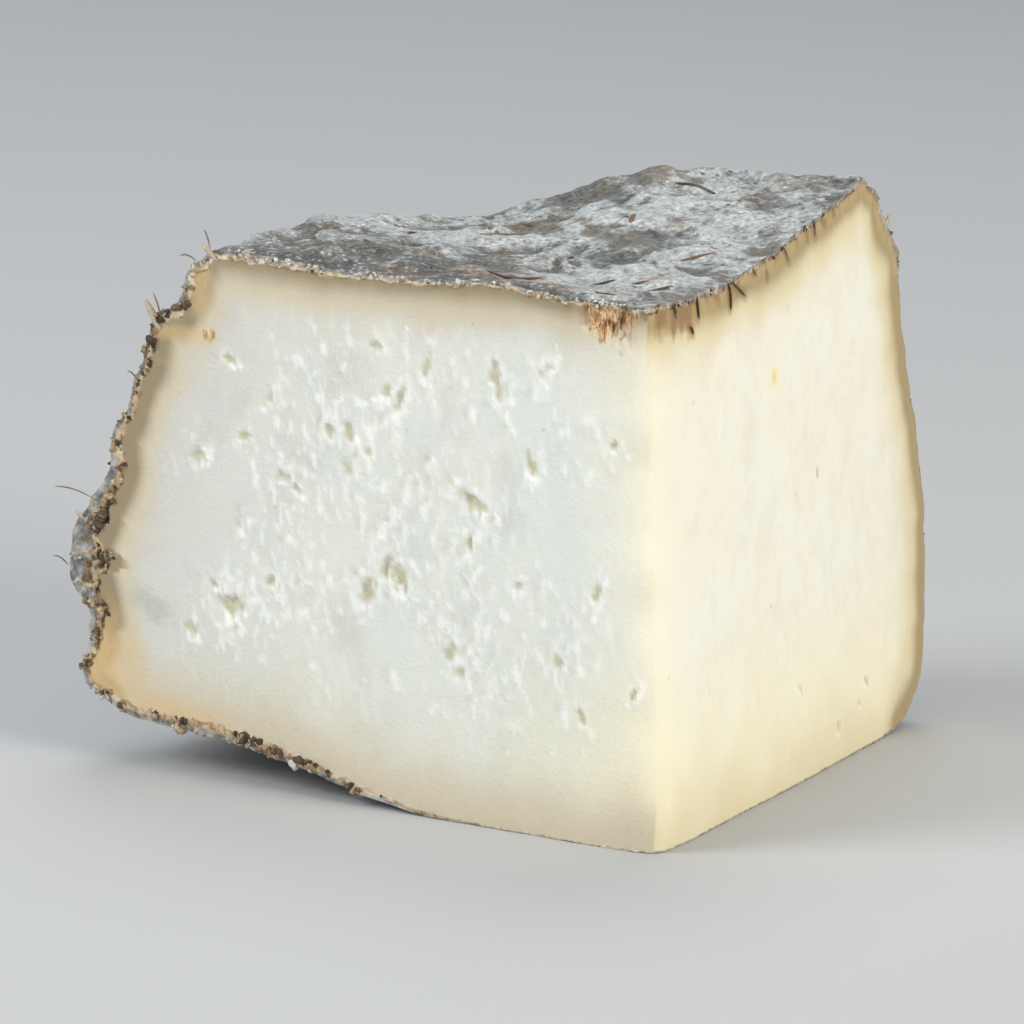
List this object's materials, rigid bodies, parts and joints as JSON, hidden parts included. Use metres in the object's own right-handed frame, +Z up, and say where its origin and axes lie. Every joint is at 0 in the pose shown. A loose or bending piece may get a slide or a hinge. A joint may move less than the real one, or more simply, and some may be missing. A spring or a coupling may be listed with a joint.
{
  "type": "sheep cheese wedge",
  "caption": "Quarter wedge of a small aged sheep cheese: two flat cut faces of pale paste, with a craggy mouldy rind and embedded needles over the top and the curved back.",
  "frame": {"origin": "on the flat face that the wedge rests on, 42 mm behind the bottom of the edge where the two cuts meet, midway between the cuts", "axes": "+Z up; the edge where the cuts meet points to -Y; the left cut face looks to -X and -Y, the right one to +X and -Y, and the curved rind to +Y"},
  "size_m": [0.1057, 0.0741, 0.067],
  "materials": {
    "cheese": "pale semi-matt paste on the cuts, rough grey-white mouldy rind outside"
  },
  "bodies": {
    "root": {"sheep_cheese_wedge": "cheese"}
  },
  "joints": []
}
